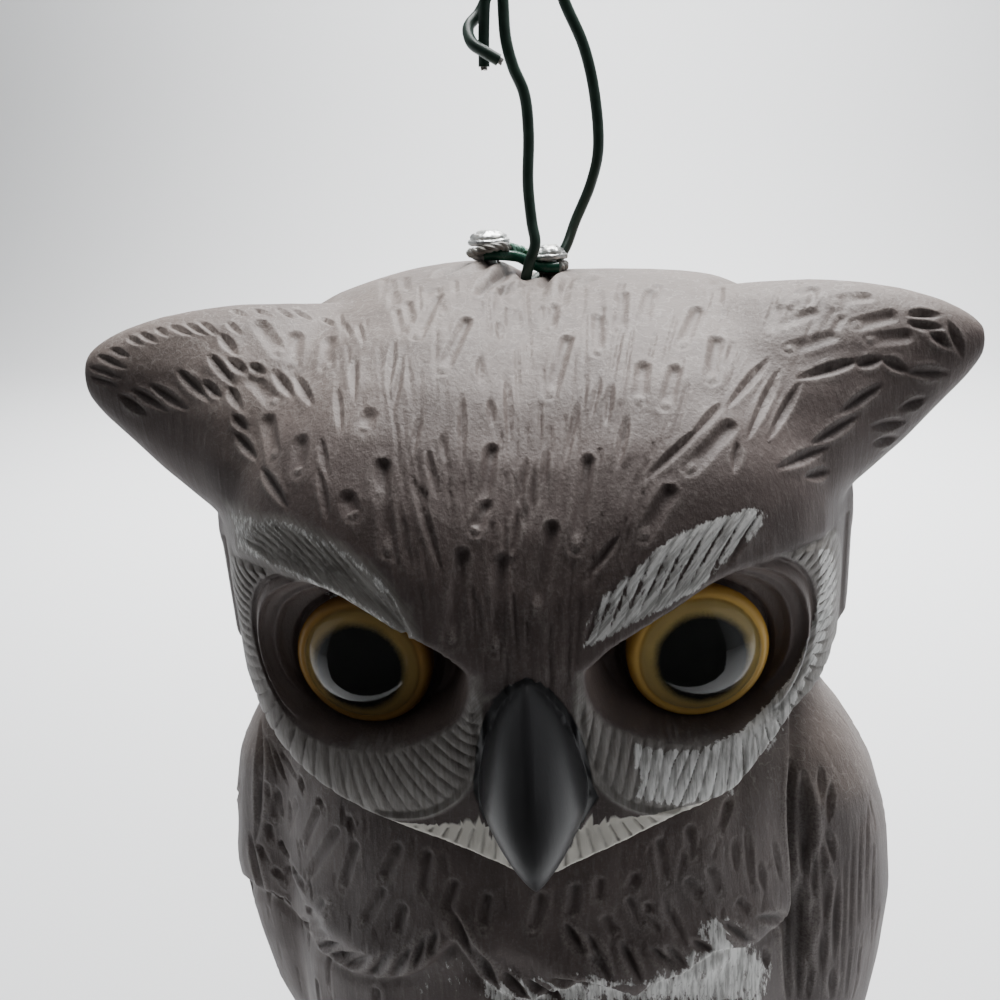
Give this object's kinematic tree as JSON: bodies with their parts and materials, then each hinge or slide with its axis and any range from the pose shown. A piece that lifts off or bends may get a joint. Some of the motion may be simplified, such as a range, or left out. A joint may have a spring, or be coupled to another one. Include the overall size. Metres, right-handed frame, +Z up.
{
  "type": "owl decoy",
  "caption": "Hollow moulded great horned owl decoy standing on a low oval base, with glossy amber eyes and a green coated wire hanging loop held by screws in the crown.",
  "frame": {"origin": "middle of the underside of the base", "axes": "+Z up, breast towards -Y, +X to the viewer's right when seen from in front; the head is turned 8 degrees about +Z towards +X"},
  "size_m": [0.2357, 0.1939, 0.526],
  "materials": {
    "moulded_plastic": "matt, finely grained, painted in black, silver grey and beige",
    "amber_plastic": "glossy amber disc with a black pupil under a clear cap",
    "zinc_steel": "dull galvanised",
    "green_coated_wire": "dark green plastic coat, semi-gloss, over a stranded steel core"
  },
  "bodies": {
    "root": {"owl_shell": "moulded_plastic", "left_eye": "amber_plastic", "right_eye": "amber_plastic", "left_screw": "zinc_steel", "right_screw": "zinc_steel", "link_wire": "green_coated_wire", "hanger_loop": "green_coated_wire"}
  },
  "joints": []
}
